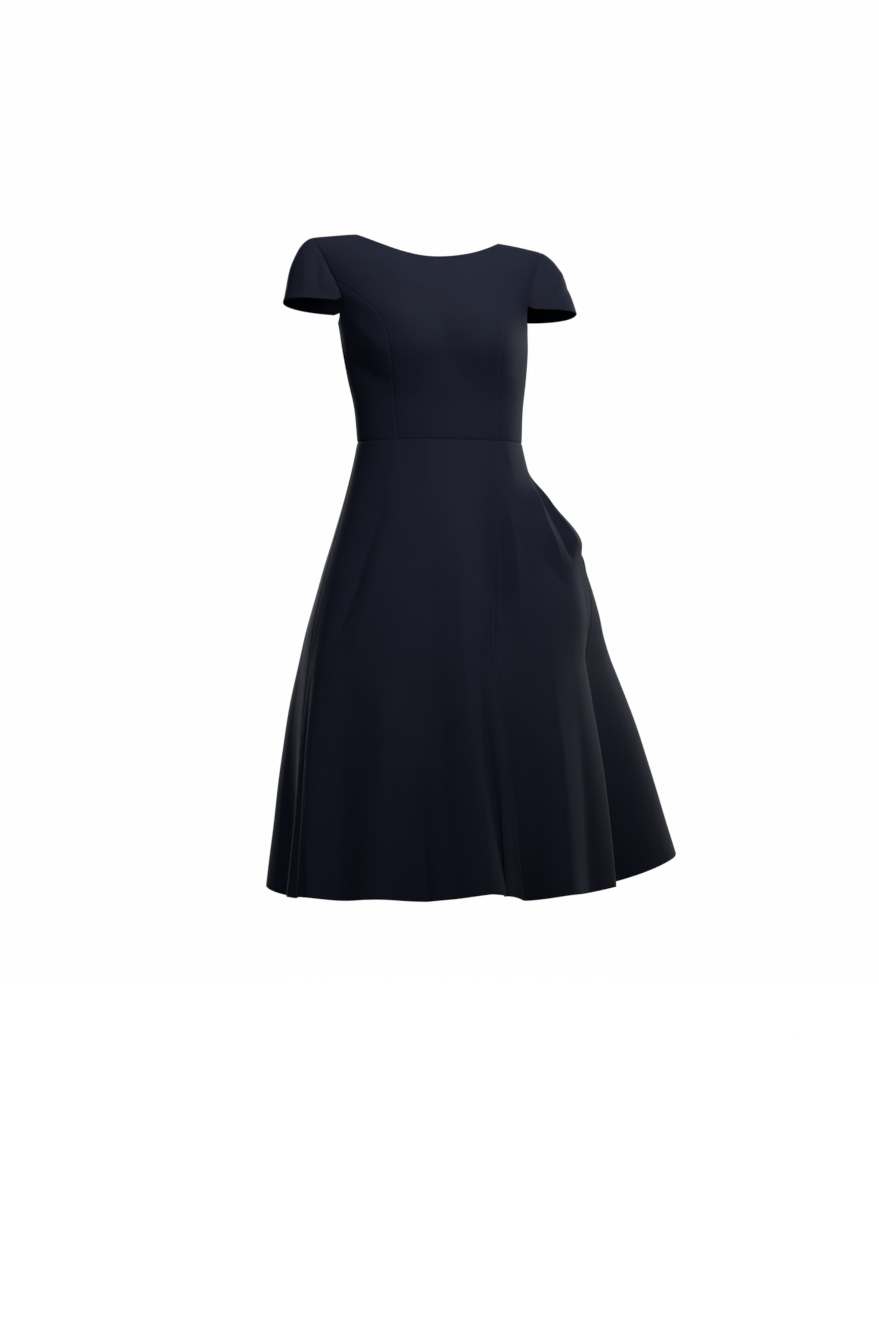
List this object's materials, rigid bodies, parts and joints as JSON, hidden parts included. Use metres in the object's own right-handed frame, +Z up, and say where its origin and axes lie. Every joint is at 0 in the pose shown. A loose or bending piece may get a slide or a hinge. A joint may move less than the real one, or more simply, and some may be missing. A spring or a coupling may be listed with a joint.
{
  "type": "a-line dress",
  "caption": "Knee-length fit-and-flare dress with a boat neckline, cap sleeves, princess seams, a waist seam, a fluted skirt and side pockets, in its worn form.",
  "frame": {"origin": "the point between the shoulder seams, at neck-point level, from which the dress hangs on its wearer", "axes": "+Z up, the centre front faces -Y, +X to the wearer's left"},
  "size_m": [0.6211, 0.5446, 0.9875],
  "materials": {
    "crepe": "matte navy crepe, fine pebbled surface",
    "pocket_cloth": "plain navy woven pocketing",
    "zip_tape": "navy woven tape",
    "zip_metal": "navy enamel, satin"
  },
  "bodies": {
    "dress": {"bodice_centre_front": "crepe", "bodice_side_front_left": "crepe", "bodice_side_front_right": "crepe", "bodice_back_left": "crepe", "bodice_back_right": "crepe", "sleeve_left": "crepe", "sleeve_right": "crepe", "skirt_front": "crepe", "skirt_back_left": "crepe", "skirt_back_right": "crepe", "pocket_left_front": "pocket_cloth", "pocket_left_back": "pocket_cloth", "pocket_right_front": "pocket_cloth", "pocket_right_back": "pocket_cloth", "zip_tape_left": "zip_tape", "zip_tape_right": "zip_tape", "zip_slider": "zip_metal"},
    "pull": {"zip_pull": "zip_metal"}
  },
  "joints": [
    {"name": "zip_pull_hinge", "type": "hinge", "parent": "dress", "child": "pull", "pos_m": [-0.018, 0.07321, -0.04881], "axis": [0.9965, -0.054, 0.064], "range_deg": [0, 150]}
  ]
}
